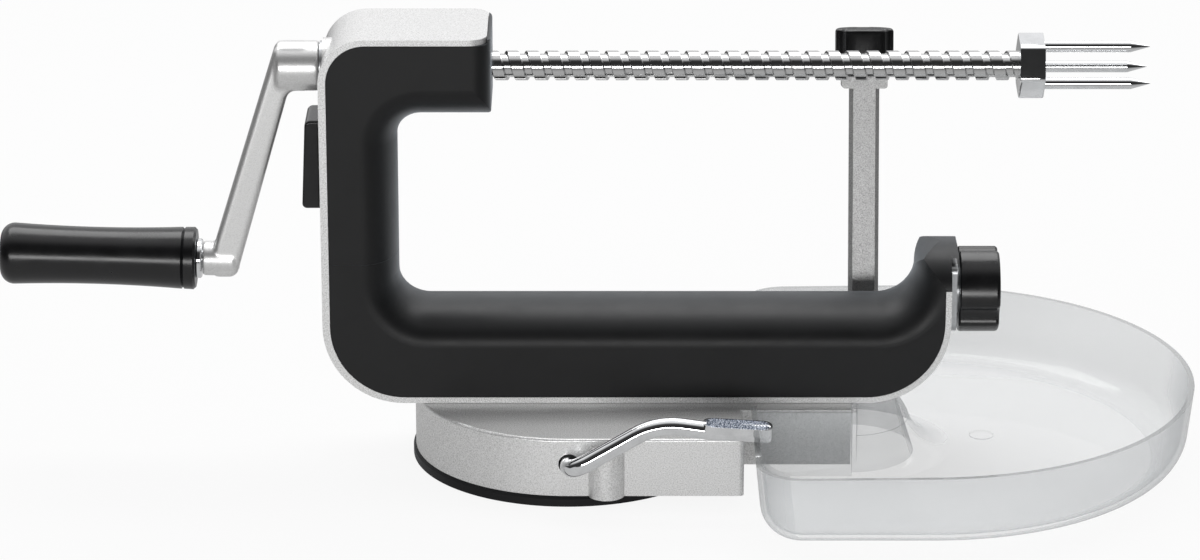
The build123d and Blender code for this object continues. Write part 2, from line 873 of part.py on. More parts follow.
# Handle: a turned grip on a steel spindle, with a bright ring at its end
grip_mid = handle_length / 2
grip_line = Plane(origin=handle_axis.origin, x_dir=handle_axis.z_dir, z_dir=(0, -1, 0))
with BuildPart() as handle_grip:
    with BuildSketch(grip_line) as grip_face:
        with BuildLine():
            Polyline(
                (handle_length, 0),
                (0, 0),
                (0, handle_end_radius - 0.8),
                (0.8, handle_end_radius - 0.05),
                (ring_place - 0.5, handle_end_radius - 0.15),
                (ring_place, handle_end_radius - 0.7),
                (ring_place + 0.5, handle_end_radius - 0.15),
            )
            ThreePointArc(
                (ring_place + 0.5, handle_end_radius - 0.15),
                (grip_mid, handle_waist_radius),
                (handle_length, handle_end_radius),
            )
            Line((handle_length, handle_end_radius), (handle_length, 0))
        make_face()
        fillet(grip_face.vertices().sort_by(lambda corner: corner.X + corner.Y)[-1], handle_round)
    revolve(axis=Axis(handle_axis.origin, handle_axis.z_dir))
    with BuildSketch(handle_axis):
        Circle(spindle_radius + running_gap)
    extrude(amount=handle_length - 6, mode=Mode.SUBTRACT)
handle_grip.part.label = "handle_grip"
export_step(handle_grip.part, "parts/handle_grip.step")

with BuildPart() as handle_spindle:
    with BuildSketch(handle_axis.offset(2 - ferrule_length - stub_length)):
        Circle(spindle_radius)
    extrude(amount=ferrule_length + stub_length - 2 + handle_length - 6.5)
handle_spindle.part.label = "handle_spindle"
export_step(handle_spindle.part, "parts/handle_spindle.step")

with BuildPart() as spindle_ferrule:
    with BuildSketch(handle_axis.offset(-ferrule_length - seat_gap / 2)):
        Circle(ferrule_radius)
        Circle(spindle_radius + press_gap, mode=Mode.SUBTRACT)
    extrude(amount=ferrule_length)
    chamfer(spindle_ferrule.edges().filter_by(GeomType.CIRCLE).sort_by(SortBy.RADIUS)[-2:], 0.4)
spindle_ferrule.part.label = "spindle_ferrule"
export_step(spindle_ferrule.part, "parts/spindle_ferrule.step")

# Fork: six-sided hub and three pointed tines
with BuildPart() as fork_hub:
    with BuildSketch(along(fork_start)) as hub_face:
        with Locations((0, screw_height)):
            RegularPolygon(fork_hub_corner, 6, rotation=30)
        fillet(hub_face.vertices(), fork_hub_round)
    extrude(amount=fork_hub_length)
    chamfer(fork_hub.faces().sort_by(Axis.X)[0].edges(), 0.7)
    chamfer(fork_hub.faces().sort_by(Axis.X)[-1].edges(), 0.7)
    with BuildSketch(along(fork_start)):
        with Locations((0, screw_height)):
            Circle(journal_radius + press_gap)
    extrude(amount=fork_hub_length - 1.4, mode=Mode.SUBTRACT)
    with BuildSketch(along(fork_start + 2)):
        with Locations((0, screw_height)):
            with PolarLocations(tine_circle, tine_count, start_angle=tine_turn):
                Circle(tine_radius + press_gap)
    extrude(amount=fork_hub_length, mode=Mode.SUBTRACT)
    with BuildSketch(fork_screw_axis.offset(journal_radius)):
        Circle(set_screw_radius + press_gap)
    extrude(amount=fork_hub_corner, mode=Mode.SUBTRACT)
fork_hub.part.label = "fork_hub"
export_step(fork_hub.part, "parts/fork_hub.step")

with BuildPart() as fork_tines:
    for face, length, taper in ((fork_start + 2.1, tine_shank, 0), (cone_start, tine_point, tine_taper)):
        with BuildSketch(along(face)):
            with Locations((0, screw_height)):
                with PolarLocations(tine_circle, tine_count, start_angle=tine_turn):
                    Circle(tine_radius)
        extrude(amount=length, taper=taper)
fork_tines.part.label = "fork_tines"
export_step(fork_tines.part, "parts/fork_tines.step")

# Headless screws that fix the crank and the fork on the lead screw
with BuildPart() as set_screws:
    for place in (crank_screw_axis, fork_screw_axis):
        with BuildSketch(place.offset(journal_radius + press_gap)):
            Circle(set_screw_radius)
        extrude(amount=set_screw_length)
        with BuildSketch(place.offset(journal_radius + press_gap + set_screw_length)):
            RegularPolygon(set_screw_radius / 2, 6)
        extrude(amount=-1.5, mode=Mode.SUBTRACT)
set_screws.part.label = "set_screws"
export_step(set_screws.part, "parts/set_screws.step")

# Suction base: half-round housing with the docking block for the bowl
rib_inner = hook_width / 2 + rib_gap
rib_outer = rib_inner + rib_thickness
with BuildPart() as base_housing:
    with BuildSketch(Plane.XY.offset(base_clear)):
        with BuildLine():
            CenterArc((0, 0), drum_radius, 90, 180)
            Polyline(
                (0, -drum_radius),
                (base_reach, -drum_radius),
                (base_reach, drum_radius),
                (0, drum_radius),
            )
        make_face()
    extrude(amount=base_height - base_clear)
    fillet(base_housing.edges().filter_by(Axis.Z).group_by(Axis.X)[-1], 1.5)
    fillet(base_housing.faces().sort_by(Axis.Z)[-1].edges(), 0.8)
    with BuildSketch(Plane.XY.offset(base_clear)):
        with Locations((boss_x, boss_radius - boss_reach)):
            Circle(boss_radius)
    extrude(amount=boss_top - base_clear)
    boss_rim = base_housing.edges().filter_by(GeomType.CIRCLE).group_by(Axis.Y)[0]
    fillet(boss_rim.sort_by(Axis.Z)[-1], 1.4)
    with BuildSketch(Plane.XY.offset(dock_clear)):
        with Locations((base_reach + dock_reach / 2 - 1, 0)):
            Rectangle(dock_reach + 2, 2 * dock_half_width)
    extrude(amount=base_height - dock_clear)
    # hollow underneath
    with BuildSketch(Plane.XY.offset(base_clear)):
        with BuildLine():
            CenterArc((0, 0), drum_radius - base_wall, 90, 180)
            Polyline(
                (0, base_wall - drum_radius),
                (base_reach - base_wall, base_wall - drum_radius),
                (base_reach - base_wall, drum_radius - base_wall),
                (0, drum_radius - base_wall),
            )
        make_face()
    extrude(amount=lever_ceiling - base_clear, mode=Mode.SUBTRACT)
    with BuildSketch(Plane.XY.offset(dock_clear)):
        with Locations((base_reach + dock_reach / 2, 0)):
            Rectangle(dock_reach - 2 * base_wall, 2 * (dock_half_width - base_wall))
    extrude(amount=lever_ceiling - dock_clear, mode=Mode.SUBTRACT)
    # round rim that presses on the pad
    with BuildSketch(Plane.XY.offset(base_clear)):
        Circle(rim_radius + base_wall)
        Circle(rim_radius, mode=Mode.SUBTRACT)
    extrude(amount=lever_ceiling - base_clear)
    # two ribs that carry the lever's axle
    for side in (-1, 1):
        with BuildSketch(across(side * (rib_inner + rib_outer) / 2)):
            with Locations((axle_x, (axle_z - rib_drop + lever_ceiling) / 2)):
                Rectangle(15, lever_ceiling - axle_z + rib_drop)
        extrude(amount=rib_thickness / 2, both=True)
    with BuildSketch(across(rib_outer + 1)):
        with Locations((axle_x, axle_z)):
            Circle(lever_radius + running_gap)
    extrude(amount=2 * rib_outer + 2, mode=Mode.SUBTRACT)
    with BuildSketch(across(base_wall - rim_radius)):
        with Locations((axle_x, axle_z)):
            Circle(lever_radius + 0.5)
    extrude(amount=drum_radius - rim_radius + 2 * base_wall, mode=Mode.SUBTRACT)
    with BuildSketch(Plane.XY.offset(lever_ceiling - 1)):
        with GridLocations(base_screw_spacing, base_screw_rows, 2, 2):
            Circle(base_screw_radius + slide_gap)
    extrude(amount=base_wall + 2, mode=Mode.SUBTRACT)
base_housing.part.label = "base_housing"
export_step(base_housing.part, "parts/base_housing.step")

with BuildPart() as base_screws:
    for radius, length in ((base_screw_head, -2.6), (base_screw_radius, base_wall + 11)):
        with BuildSketch(Plane.XY.offset(lever_ceiling - press_gap)):
            with GridLocations(base_screw_spacing, base_screw_rows, 2, 2):
                Circle(radius)
        extrude(amount=length)
base_screws.part.label = "base_screws"
export_step(base_screws.part, "parts/base_screws.step")

# Suction pad: flat rubber disc with a bead inside the rim and a boss under the stem
stem_foot = pad_thickness + 1.6
with BuildPart() as suction_cup:
    with BuildSketch():
        Circle(pad_radius)
    extrude(amount=pad_thickness)
    chamfer(suction_cup.faces().sort_by(Axis.Z)[-1].edges(), 0.8)
    with BuildSketch(Plane.XY.offset(pad_thickness)):
        Circle(rim_radius - slide_gap)
        Circle(rim_radius - slide_gap - 3, mode=Mode.SUBTRACT)
    extrude(amount=4)
    with BuildSketch(Plane.XY.offset(pad_thickness)):
        with Locations((axle_x, 0)):
            Circle(11)
    extrude(amount=stem_foot - pad_thickness)
suction_cup.part.label = "suction_cup"
export_step(suction_cup.part, "parts/suction_cup.step")

# Stem: a foot on the pad and an open hook round the lever's eccentric
pin_x = axle_x + eccentric_throw * cos(radians(eccentric_angle))
pin_z = axle_z + eccentric_throw * sin(radians(eccentric_angle))
hook_play = eccentric_radius + slide_gap
hook_wall = 1.8
hook_back = axle_x + eccentric_throw + hook_play
with BuildPart() as suction_stem:
    with BuildSketch(Plane.XY.offset(stem_foot + press_gap)):
        with Locations((axle_x, 0)):
            Circle(9)
    extrude(amount=1.6)
    with BuildSketch(Plane.XY.offset(stem_foot + 1)):
        with Locations((axle_x + 1, 0)):
            Circle(3.2)
    extrude(amount=pin_z - hook_play - hook_wall - stem_foot)
    with BuildSketch(across()):
        with BuildLine():
            FilletPolyline(
                (axle_x - 3.4, pin_z - hook_play - hook_wall),
                (hook_back + hook_wall, pin_z - hook_play - hook_wall),
                (hook_back + hook_wall, pin_z + hook_play + hook_wall),
                (axle_x - 3.4, pin_z + hook_play + hook_wall),
                (axle_x - 3.4, pin_z + hook_play),
                (hook_back, pin_z + hook_play),
                (hook_back, pin_z - hook_play),
                (axle_x - 3.4, pin_z - hook_play),
                radius=[0, 1.2, 1.2, 0, 0, 0.8, 0.8, 0],
                close=True,
            )
        make_face()
    extrude(amount=hook_width / 2, both=True)
suction_stem.part.label = "suction_stem"
export_step(suction_stem.part, "parts/suction_stem.step")


def retaining_clip(place, radius):
    """An open ring in a groove round a pin of this radius, lying on the given plane."""
    with BuildPart() as clip:
        with BuildSketch(place):
            Circle(radius + 2)
            Circle(radius - clip_groove + press_gap, mode=Mode.SUBTRACT)
            with Locations((radius, 0)):
                Rectangle(2 * radius, radius, mode=Mode.SUBTRACT)
        extrude(amount=clip_thickness)
    return clip.part


def clip_ring(place, radius):
    """What a clip's groove takes away round a pin of this radius."""
    with BuildPart() as ring:
        with BuildSketch(place.offset(-seat_gap)):
            Circle(radius + 1)
            Circle(radius - clip_groove, mode=Mode.SUBTRACT)
        extrude(amount=clip_thickness + 2 * seat_gap)
    return ring.part


# Lever: one bent rod, with an eccentric inside the base and a thumb pad at its end
inner_end = hook_width / 2 + 0.2
lever_plane = -boss_reach - lever_radius - seat_gap
lever_tip = axle_x + lever_reach
axle_clip = Plane(origin=(axle_x, rib_outer + seat_gap, axle_z), x_dir=(1, 0, 0), z_dir=(0, 1, 0))
axle_groove = clip_ring(axle_clip, lever_radius)
with BuildPart() as lever:
    with BuildLine() as rod:
        FilletPolyline(
            (axle_x, -inner_end, axle_z),
            (axle_x, lever_plane, axle_z),
            (axle_x + 28.0, lever_plane, axle_z + lever_rise),
            (axle_x + 45.5, lever_plane, axle_z + lever_rise - 2.5),
            (lever_tip, lever_plane, axle_z + lever_rise - 3.3),
            radius=[lever_bend, 22.0, 30.0],
        )
    with BuildSketch(Plane(rod.wires()[0].location_at(0))):
        Circle(lever_radius)
    sweep(path=rod.wires()[0])
    fillet(lever.edges().filter_by(GeomType.CIRCLE).group_by(Axis.X)[-1], 0.9)
    with BuildSketch(across(inner_end)):
        with Locations((pin_x, pin_z)):
            Circle(eccentric_radius)
    extrude(amount=2 * inner_end)
    with BuildSketch(across(rib_outer + 2.4)):
        with Locations((axle_x, axle_z)):
            Circle(lever_radius)
    extrude(amount=rib_outer + 2.4 - inner_end)
    add(axle_groove, mode=Mode.SUBTRACT)
    # thumb pad
    pad_place = Plane(
        origin=(lever_tip - 10.8, lever_plane, axle_z + lever_rise - 2.4),
        x_dir=(cos(radians(thumb_tilt)), 0, -sin(radians(thumb_tilt))),
        z_dir=(sin(radians(thumb_tilt)), 0, cos(radians(thumb_tilt))),
    )
    with BuildSketch(pad_place):
        RectangleRounded(thumb_length, thumb_width, 3.4)
    extrude(amount=lever_radius - 0.6)
lever.part.label = "lever"
export_step(lever.part, "parts/lever.step")

with BuildPart() as lever_clip:
    add(retaining_clip(axle_clip, lever_radius))
lever_clip.part.label = "lever_clip"
export_step(lever_clip.part, "parts/lever_clip.step")


def bowl_body(inset, floor, height, round_edge):
    """The bowl's outer or inner body: sides that lean out, and a rounded foot."""
    foot_inset = inset + tan(radians(bowl_draft)) * (bowl_height - floor)
    with BuildPart() as body:
        with BuildSketch(Plane.XY.offset(floor)) as outline:
            with BuildLine():
                CenterArc((bowl_middle, 0), bowl_radius - foot_inset, -90, 180)
                Polyline(
                    (bowl_middle, bowl_radius - foot_inset),
                    (bowl_back + foot_inset, bowl_radius - foot_inset),
                    (bowl_back + foot_inset, foot_inset - bowl_radius),
                    (bowl_middle, foot_inset - bowl_radius),
                )
            make_face()
            fillet(outline.vertices().group_by(Axis.X)[0], bowl_corner - foot_inset)
        extrude(amount=height - floor, taper=-bowl_draft)
        fillet(body.faces().sort_by(Axis.Z)[0].edges(), round_edge)
    return body.part


# Bowl: a thin shell with a keyway for the docking block and a flared hill round it
island_top = frame_foot - keyway_clear
keyway_end = base_reach + dock_reach + keyway_gap
island_end = keyway_end + keyway_wall
keyway_half = dock_half_width + keyway_gap
outer_body = bowl_body(0, 0, bowl_height, bowl_foot_round)
inner_body = bowl_body(bowl_wall, bowl_wall, bowl_height + 1, bowl_foot_round - bowl_wall)
with BuildPart() as hill:
    with BuildSketch(Plane.XZ):
        with BuildLine():
            FilletPolyline(
                (keyway_end, island_top),
                (keyway_end + trumpet_top_radius, island_top),
                (keyway_end + trumpet_top_radius + 6.6, bowl_wall),
                (keyway_end + trumpet_foot_radius + 8, bowl_wall),
                radius=15,
            )
            Polyline(
                (keyway_end + trumpet_foot_radius + 8, bowl_wall),
                (keyway_end + trumpet_foot_radius + 8, 0),
                (keyway_end, 0),
                (keyway_end, island_top),
            )
        make_face()
    revolve(axis=Axis((keyway_end, 0, 0), (0, 0, 1)))
with BuildPart() as island:
    with BuildSketch():
        with Locations(((bowl_back + island_end) / 2 - 6, 0)):
            RectangleRounded(island_end - bowl_back + 12, 2 * (keyway_half + keyway_wall), 3.0)
    extrude(amount=island_top)
    add(hill.part)
    add(outer_body, mode=Mode.INTERSECT)
with BuildPart() as bowl:
    add(outer_body)
    add(inner_body, mode=Mode.SUBTRACT)
    add(island.part)
    # the hill is hollow underneath
    with BuildSketch(Plane.XZ):
        with BuildLine():
            FilletPolyline(
                (keyway_end, island_top - bowl_wall),
                (keyway_end + trumpet_top_radius - 1.6, island_top - bowl_wall),
                (keyway_end + trumpet_top_radius + 5.0, 0),
                (keyway_end, 0),
                radius=[0, 6, 0, 0],
                close=True,
            )
        make_face()
    revolve(
        axis=Axis((keyway_end, 0, 0), (0, 0, 1)),
        mode=Mode.SUBTRACT,
    )
    with BuildSketch():
        with Locations(((bowl_back - 1 + keyway_end) / 2, 0)):
            Rectangle(keyway_end - bowl_back + 1, 2 * keyway_half)
    extrude(amount=bowl_height, mode=Mode.SUBTRACT)
    with BuildSketch(Plane.XY.offset(bowl_wall)):
        with Locations((keyway_end + 44.4, 7.7)):
            Circle(dimple_radius)
    extrude(amount=-0.4, mode=Mode.SUBTRACT)
    # the rim drops a little towards the back
    with BuildSketch(across()):
        with BuildLine():
            Polyline(
                (bowl_back - 1, bowl_height_back),
                (bowl_middle + bowl_radius + 1, bowl_height),
                (bowl_middle + bowl_radius + 1, bowl_height + 5),
                (bowl_back - 1, bowl_height + 5),
                close=True,
            )
        make_face()
    extrude(amount=bowl_radius + 1, both=True, mode=Mode.SUBTRACT)
bowl.part.label = "bowl"
export_step(bowl.part, "parts/bowl.step")

# Peeler arm: a bar that leans away behind the frame, with a T-shaped head
arm_out = (0, -cos(radians(arm_lean)), sin(radians(arm_lean)))
arm_face = Plane(origin=(arm_x, arm_pivot_y, arm_pivot_z), x_dir=(1, 0, 0), z_dir=arm_out)
arm_end_face = Plane(
    origin=arm_face.origin + arm_face.y_dir * (arm_reach + head_height),
    x_dir=(1, 0, 0),
    z_dir=arm_face.y_dir,
)
arm_pin_axis = Plane(origin=arm_face.origin, x_dir=(0, 1, 0), z_dir=(1, 0, 0))
with BuildPart() as arm_bar:
    with BuildSketch(arm_face.offset(-arm_thickness / 2)):
        with Locations((0, arm_reach / 2)):
            Rectangle(arm_width, arm_reach)
    extrude(amount=arm_thickness)
    bar_faces = arm_bar.faces().filter_by(lambda face: abs(face.normal_at().dot(arm_face.z_dir)) > 0.9)
    chamfer(bar_faces.edges().filter_by(lambda edge: edge.length > arm_reach - 1), arm_bevel)
with BuildPart() as peeler_arm:
    add(arm_bar.part)
    with BuildSketch(arm_face.offset(-head_thickness / 2)):
        with Locations((0, arm_reach + head_height / 2)):
            RectangleRounded(head_width, head_height, 1.0)
    extrude(amount=head_thickness)
    with BuildSketch(arm_pin_axis.offset(-arm_width / 2)):
        Circle(arm_eye_radius)
    extrude(amount=arm_width)
    with BuildSketch(arm_pin_axis.offset(-arm_width)):
        Circle(arm_pin_radius + running_gap)
    extrude(amount=2 * arm_width, mode=Mode.SUBTRACT)
    with BuildSketch(arm_end_face):
        Circle(arm_stud_radius + running_gap)
    extrude(amount=-head_height, mode=Mode.SUBTRACT)
peeler_arm.part.label = "peeler_arm"
export_step(peeler_arm.part, "parts/peeler_arm.step")

# Pivot pin of the arm, its clip and its spring
pin_head_face = ear_left - ear_thickness - seat_gap
pin_clip_face = ear_right + ear_thickness + seat_gap
pivot_clip_place = Plane(origin=(pin_clip_face, arm_pivot_y, arm_pivot_z), x_dir=(0, 1, 0), z_dir=(1, 0, 0))
pivot_groove = clip_ring(pivot_clip_place, arm_pin_radius)
with BuildPart() as arm_pivot_pin:
    with BuildSketch(along(pin_head_face)):
        with Locations((arm_pivot_y, arm_pivot_z)):
            Circle(arm_pin_radius)
    extrude(amount=pin_clip_face - pin_head_face + 2)
    with BuildSketch(along(pin_head_face)):
        with Locations((arm_pivot_y, arm_pivot_z)):
            Circle(arm_pin_radius + 1.6)
    extrude(amount=-1.5)
    add(pivot_groove, mode=Mode.SUBTRACT)
arm_pivot_pin.part.label = "arm_pivot_pin"
export_step(arm_pivot_pin.part, "parts/arm_pivot_pin.step")

with BuildPart() as pivot_clip:
    add(retaining_clip(pivot_clip_place, arm_pin_radius))
pivot_clip.part.label = "pivot_clip"
export_step(pivot_clip.part, "parts/pivot_clip.step")

arm_spring_axis = Plane(
    origin=(ear_right - arm_spring_room + arm_spring_wire / 2, arm_pivot_y, arm_pivot_z),
    x_dir=(0, 1, 0),
    z_dir=(1, 0, 0),
)
arm_spring_lead = (arm_spring_room - arm_spring_wire - seat_gap) / arm_spring_turns
arm_spring_steps = arm_spring_turns * turn_steps
arm_wire = round_wire(arm_spring_radius, arm_spring_wire)
with BuildPart() as arm_spring:
    add(coil(arm_spring_axis, arm_spring_lead, 0, arm_spring_steps, arm_wire))
arm_spring.part.label = "arm_spring"
export_step(arm_spring.part, "parts/arm_spring.step")
arm_gap = least_gap(
    arm_spring_axis, arm_spring_lead, arm_spring_radius, arm_spring_wire, arm_spring_turns
)
print("arm spring, least gap between turns:", arm_gap)

# Clamp screw of the arm's head
arm_knob_face = arm_end_face.offset(2 * seat_gap + arm_washer_thickness)
with BuildPart() as arm_washer:
    with BuildSketch(arm_end_face.offset(seat_gap)):
        Circle(arm_washer_radius)
        Circle(arm_stud_radius + slide_gap, mode=Mode.SUBTRACT)
    extrude(amount=arm_washer_thickness)
arm_washer.part.label = "arm_washer"
export_step(arm_washer.part, "parts/arm_washer.step")

with BuildPart() as arm_stud:
    with BuildSketch(arm_end_face.offset(1 - head_height)):
        Circle(arm_stud_radius)
    extrude(amount=head_height + arm_knob_height - 2.5)
arm_stud.part.label = "arm_stud"
export_step(arm_stud.part, "parts/arm_stud.step")

arm_lobes = knob_face(arm_knob_radius, arm_knob_turn)
with BuildPart() as arm_knob:
    with BuildSketch(arm_knob_face):
        add(arm_lobes)
    extrude(amount=arm_knob_height)
    fillet(arm_knob.faces().sort_by(Axis(arm_face.origin, arm_face.y_dir))[-1].edges(), 1.2)
    with BuildSketch(arm_knob_face):
        Circle(arm_stud_radius + press_gap)
    extrude(amount=arm_knob_height - 2, mode=Mode.SUBTRACT)
arm_knob.part.label = "arm_knob"
export_step(arm_knob.part, "parts/arm_knob.step")

# Clamp on the nose: plate, washer, stud and knob
clamp_washer_face = frame_front + 2 * seat_gap + clamp_plate_thickness
clamp_knob_face = clamp_washer_face + clamp_washer_thickness + seat_gap
with BuildPart() as clamp_plate:
    with BuildSketch(along(frame_front + seat_gap)):
        with Locations((0, clamp_height)):
            RectangleRounded(clamp_plate_width, clamp_plate_height, 3)
            Circle(clamp_stud_radius + slide_gap, mode=Mode.SUBTRACT)
    extrude(amount=clamp_plate_thickness)
clamp_plate.part.label = "clamp_plate"
export_step(clamp_plate.part, "parts/clamp_plate.step")

with BuildPart() as clamp_washer:
    with BuildSketch(along(clamp_washer_face)):
        with Locations((0, clamp_height)):
            Circle(clamp_washer_radius)
            Circle(clamp_stud_radius + slide_gap, mode=Mode.SUBTRACT)
    extrude(amount=clamp_washer_thickness)
clamp_washer.part.label = "clamp_washer"
export_step(clamp_washer.part, "parts/clamp_washer.step")

with BuildPart() as clamp_stud:
    with BuildSketch(along(core_nose + 1)):
        with Locations((0, clamp_height)):
            Circle(clamp_stud_radius)
    extrude(amount=clamp_knob_face + clamp_knob_length - 3 - core_nose - 1)
clamp_stud.part.label = "clamp_stud"
export_step(clamp_stud.part, "parts/clamp_stud.step")

clamp_lobes = knob_face(clamp_knob_radius, knob_valley_turn)
with BuildPart() as clamp_knob:
    with BuildSketch(along(clamp_knob_face)):
        with Locations((0, clamp_height)):
            add(clamp_lobes)
    extrude(amount=clamp_knob_length)
    fillet(clamp_knob.faces().sort_by(Axis.X)[0].edges(), 0.8)
    fillet(clamp_knob.faces().sort_by(Axis.X)[-1].edges(), 1.2)
    with BuildSketch(along(clamp_knob_face)):
        with Locations((0, clamp_height)):
            Circle(clamp_stud_radius + press_gap)
    extrude(amount=clamp_knob_length - 3, mode=Mode.SUBTRACT)
clamp_knob.part.label = "clamp_knob"
export_step(clamp_knob.part, "parts/clamp_knob.step")
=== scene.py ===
# %% [markdown]
# # A hand cranked spiralizer on a suction base
#
# The machine pushes a vegetable against a blade with a forked lead screw. Its body is a silver
# casting shaped like a C, black covers fill the inner side of the C, and a clear bowl catches
# the strands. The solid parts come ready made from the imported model. This lesson dresses them:
# it winds a fine thread on the screw, raises a knurl on the lever, softens the crank and the
# fork's hub, and builds one procedural material for each finish on the object.

from math import cos, pi, radians, sin

import bmesh
import bpy
from mathutils import Matrix, Vector


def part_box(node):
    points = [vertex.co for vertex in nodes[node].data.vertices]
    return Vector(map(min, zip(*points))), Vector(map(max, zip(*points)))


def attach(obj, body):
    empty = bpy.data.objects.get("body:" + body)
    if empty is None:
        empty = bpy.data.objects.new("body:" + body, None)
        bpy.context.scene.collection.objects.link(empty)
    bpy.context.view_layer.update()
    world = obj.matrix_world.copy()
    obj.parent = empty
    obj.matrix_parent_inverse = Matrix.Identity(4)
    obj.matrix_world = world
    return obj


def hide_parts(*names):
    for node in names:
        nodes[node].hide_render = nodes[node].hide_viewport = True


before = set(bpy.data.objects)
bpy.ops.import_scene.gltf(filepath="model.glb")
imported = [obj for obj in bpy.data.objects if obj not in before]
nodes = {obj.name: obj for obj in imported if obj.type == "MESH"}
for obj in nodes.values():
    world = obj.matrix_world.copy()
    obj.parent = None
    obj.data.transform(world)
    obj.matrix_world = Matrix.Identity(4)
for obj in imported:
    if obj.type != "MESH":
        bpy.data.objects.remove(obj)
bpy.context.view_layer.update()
mm = 0.001
print("pieces in the packed model:", len(nodes))

# %% [markdown]
# ## Tools for materials
#
# Every finish is a Principled shader with a few procedural textures in front of it. The
# textures read Object coordinates. All pieces stand at the origin, so a grain that is given in
# millimetres has the same size on each of them.

# %% Two small helpers that add nodes and start a material
def node_adder(tree):
    """A function that adds a node to a tree, sets its values and wires its inputs."""
    def add(kind, values=(), wires=()):
        node = tree.nodes.new(kind)
        for socket, value in dict(values).items():
            node.inputs[socket].default_value = value
        for socket, source in dict(wires).items():
            tree.links.new(source, node.inputs[socket])
        return node

    return add


def new_finish(name, colour, metallic=0.0, roughness=0.5):
    """A Principled material, and a function that adds and wires nodes to it."""
    finish = bpy.data.materials.new(name)
    finish.use_nodes = True
    finish.diffuse_color = (*colour, 1.0)
    tree = finish.node_tree
    shader = tree.nodes["Principled BSDF"]
    shader.inputs["Base Color"].default_value = (*colour, 1.0)
    shader.inputs["Metallic"].default_value = metallic
    shader.inputs["Roughness"].default_value = roughness
    place = tree.nodes.new("ShaderNodeTexCoord")
    return finish, tree, shader, place.outputs["Object"], node_adder(tree)


# %% Helpers for grain, ramps and bumps
def grain(add, place, size_mm, detail=2.0, roughness=0.6, stretch=None):
    """Noise whose lumps are about size_mm wide; stretch lengthens them along an axis."""
    if stretch is not None:
        place = add("ShaderNodeMapping", {"Scale": stretch}, {"Vector": place}).outputs["Vector"]
    values = {"Scale": 1 / (size_mm * mm), "Detail": detail, "Roughness": roughness}
    return add("ShaderNodeTexNoise", values, {"Vector": place}).outputs["Fac"]


def ramp(add, source, *stops):
    """A colour ramp through (position, grey or colour) stops."""
    node = add("ShaderNodeValToRGB", {}, {"Fac": source})
    band = node.color_ramp
    while len(band.elements) < len(stops):
        band.elements.new(0.5)
    for element, (position, shade) in zip(band.elements, stops):
        element.position = position
        element.color = (*shade, 1) if isinstance(shade, tuple) else (shade, shade, shade, 1)
    return node.outputs["Color"]


def bump(add, height, depth_mm, strength=1.0, below=None):
    """Bump of about depth_mm from a height texture, on top of another bump if there is one."""
    wires = {"Height": height}
    if below is not None:
        wires["Normal"] = below
    values = {"Strength": strength, "Distance": depth_mm * mm}
    return add("ShaderNodeBump", values, wires).outputs["Normal"]


# %% [markdown]
# ## Silver paint with a speckle
#
# The casting and the suction base wear the same paint: a mid silver with light and dark flakes
# about 0.4 mm wide. The crank's is finer and calmer, the peeler arm's is darker. One noise gives
# the flakes and their roughness, so they glint differently, and a finer one gives a light bump.

# %% Speckled silver paint
def speckled_paint(name, shade, flake_mm, contrast, metallic, rough):
    finish, tree, shader, place, add = new_finish(name, (shade,) * 3, metallic, 0.5)
    flakes = grain(add, place, flake_mm, detail=3.0, roughness=0.75)
    low, high = shade * (1 - contrast), min(1.0, shade * (1 + contrast))
    colour = ramp(
        add,
        flakes,
        (0.34, (low, low, low * 0.99)),
        (0.47, (shade, shade, shade * 0.99)),
        (0.62, (high, high, high)),
    )
    tree.links.new(colour, shader.inputs["Base Color"])
    gleam = ramp(add, flakes, (0.35, rough + 0.1), (0.65, rough - 0.1))
    tree.links.new(gleam, shader.inputs["Roughness"])
    fine = grain(add, place, flake_mm * 0.6)
    tree.links.new(bump(add, fine, 0.02, 0.5), shader.inputs["Normal"])
    return finish


casting_paint = speckled_paint("casting_paint", 0.68, 0.42, 0.27, 0.62, 0.4)
crank_paint = speckled_paint("crank_paint", 0.7, 0.3, 0.18, 0.8, 0.36)
arm_paint = speckled_paint("arm_paint", 0.34, 0.36, 0.32, 0.5, 0.42)

# %% [markdown]
# ## Black plastics and rubber
#
# The grips are satin, with a bloom that turns the highlight blue grey, so they get a rough
# shader with a soft sheen. The handle, the knobs and the release button are moulded in a harder
# plastic: the same black, smoother, with a faint swirl in the gloss.

# %% Satin grip, glossy plastic and rubber
def black_plastic(name, shade, rough_low, rough_high, texture_mm, depth_mm, gloss, bloom):
    finish, tree, shader, place, add = new_finish(name, (shade, shade, shade * 1.1))
    shader.inputs["Specular IOR Level"].default_value = gloss
    shader.inputs["Sheen Weight"].default_value = bloom
    shader.inputs["Sheen Roughness"].default_value = 0.4
    shader.inputs["Sheen Tint"].default_value = (0.86, 0.93, 1.0, 1.0)
    cloud = grain(add, place, 9.0, detail=3.0)
    tree.links.new(
        ramp(add, cloud, (0.3, rough_low), (0.7, rough_high)), shader.inputs["Roughness"]
    )
    tone = ramp(
        add,
        cloud,
        (0.3, (shade * 0.85, shade * 0.85, shade * 0.93)),
        (0.7, (shade * 1.15, shade * 1.15, shade * 1.28)),
    )
    tree.links.new(tone, shader.inputs["Base Color"])
    texture = grain(add, place, texture_mm)
    tree.links.new(bump(add, texture, depth_mm, 0.4), shader.inputs["Normal"])
    return finish


grip_black = black_plastic("grip_black", 0.004, 0.4, 0.48, 0.25, 0.006, 0.3, 0.42)
knob_black = black_plastic("knob_black", 0.005, 0.2, 0.28, 0.5, 0.003, 0.5, 0.05)
pad_rubber = black_plastic("pad_rubber", 0.008, 0.5, 0.65, 0.4, 0.02, 0.2, 0.1)

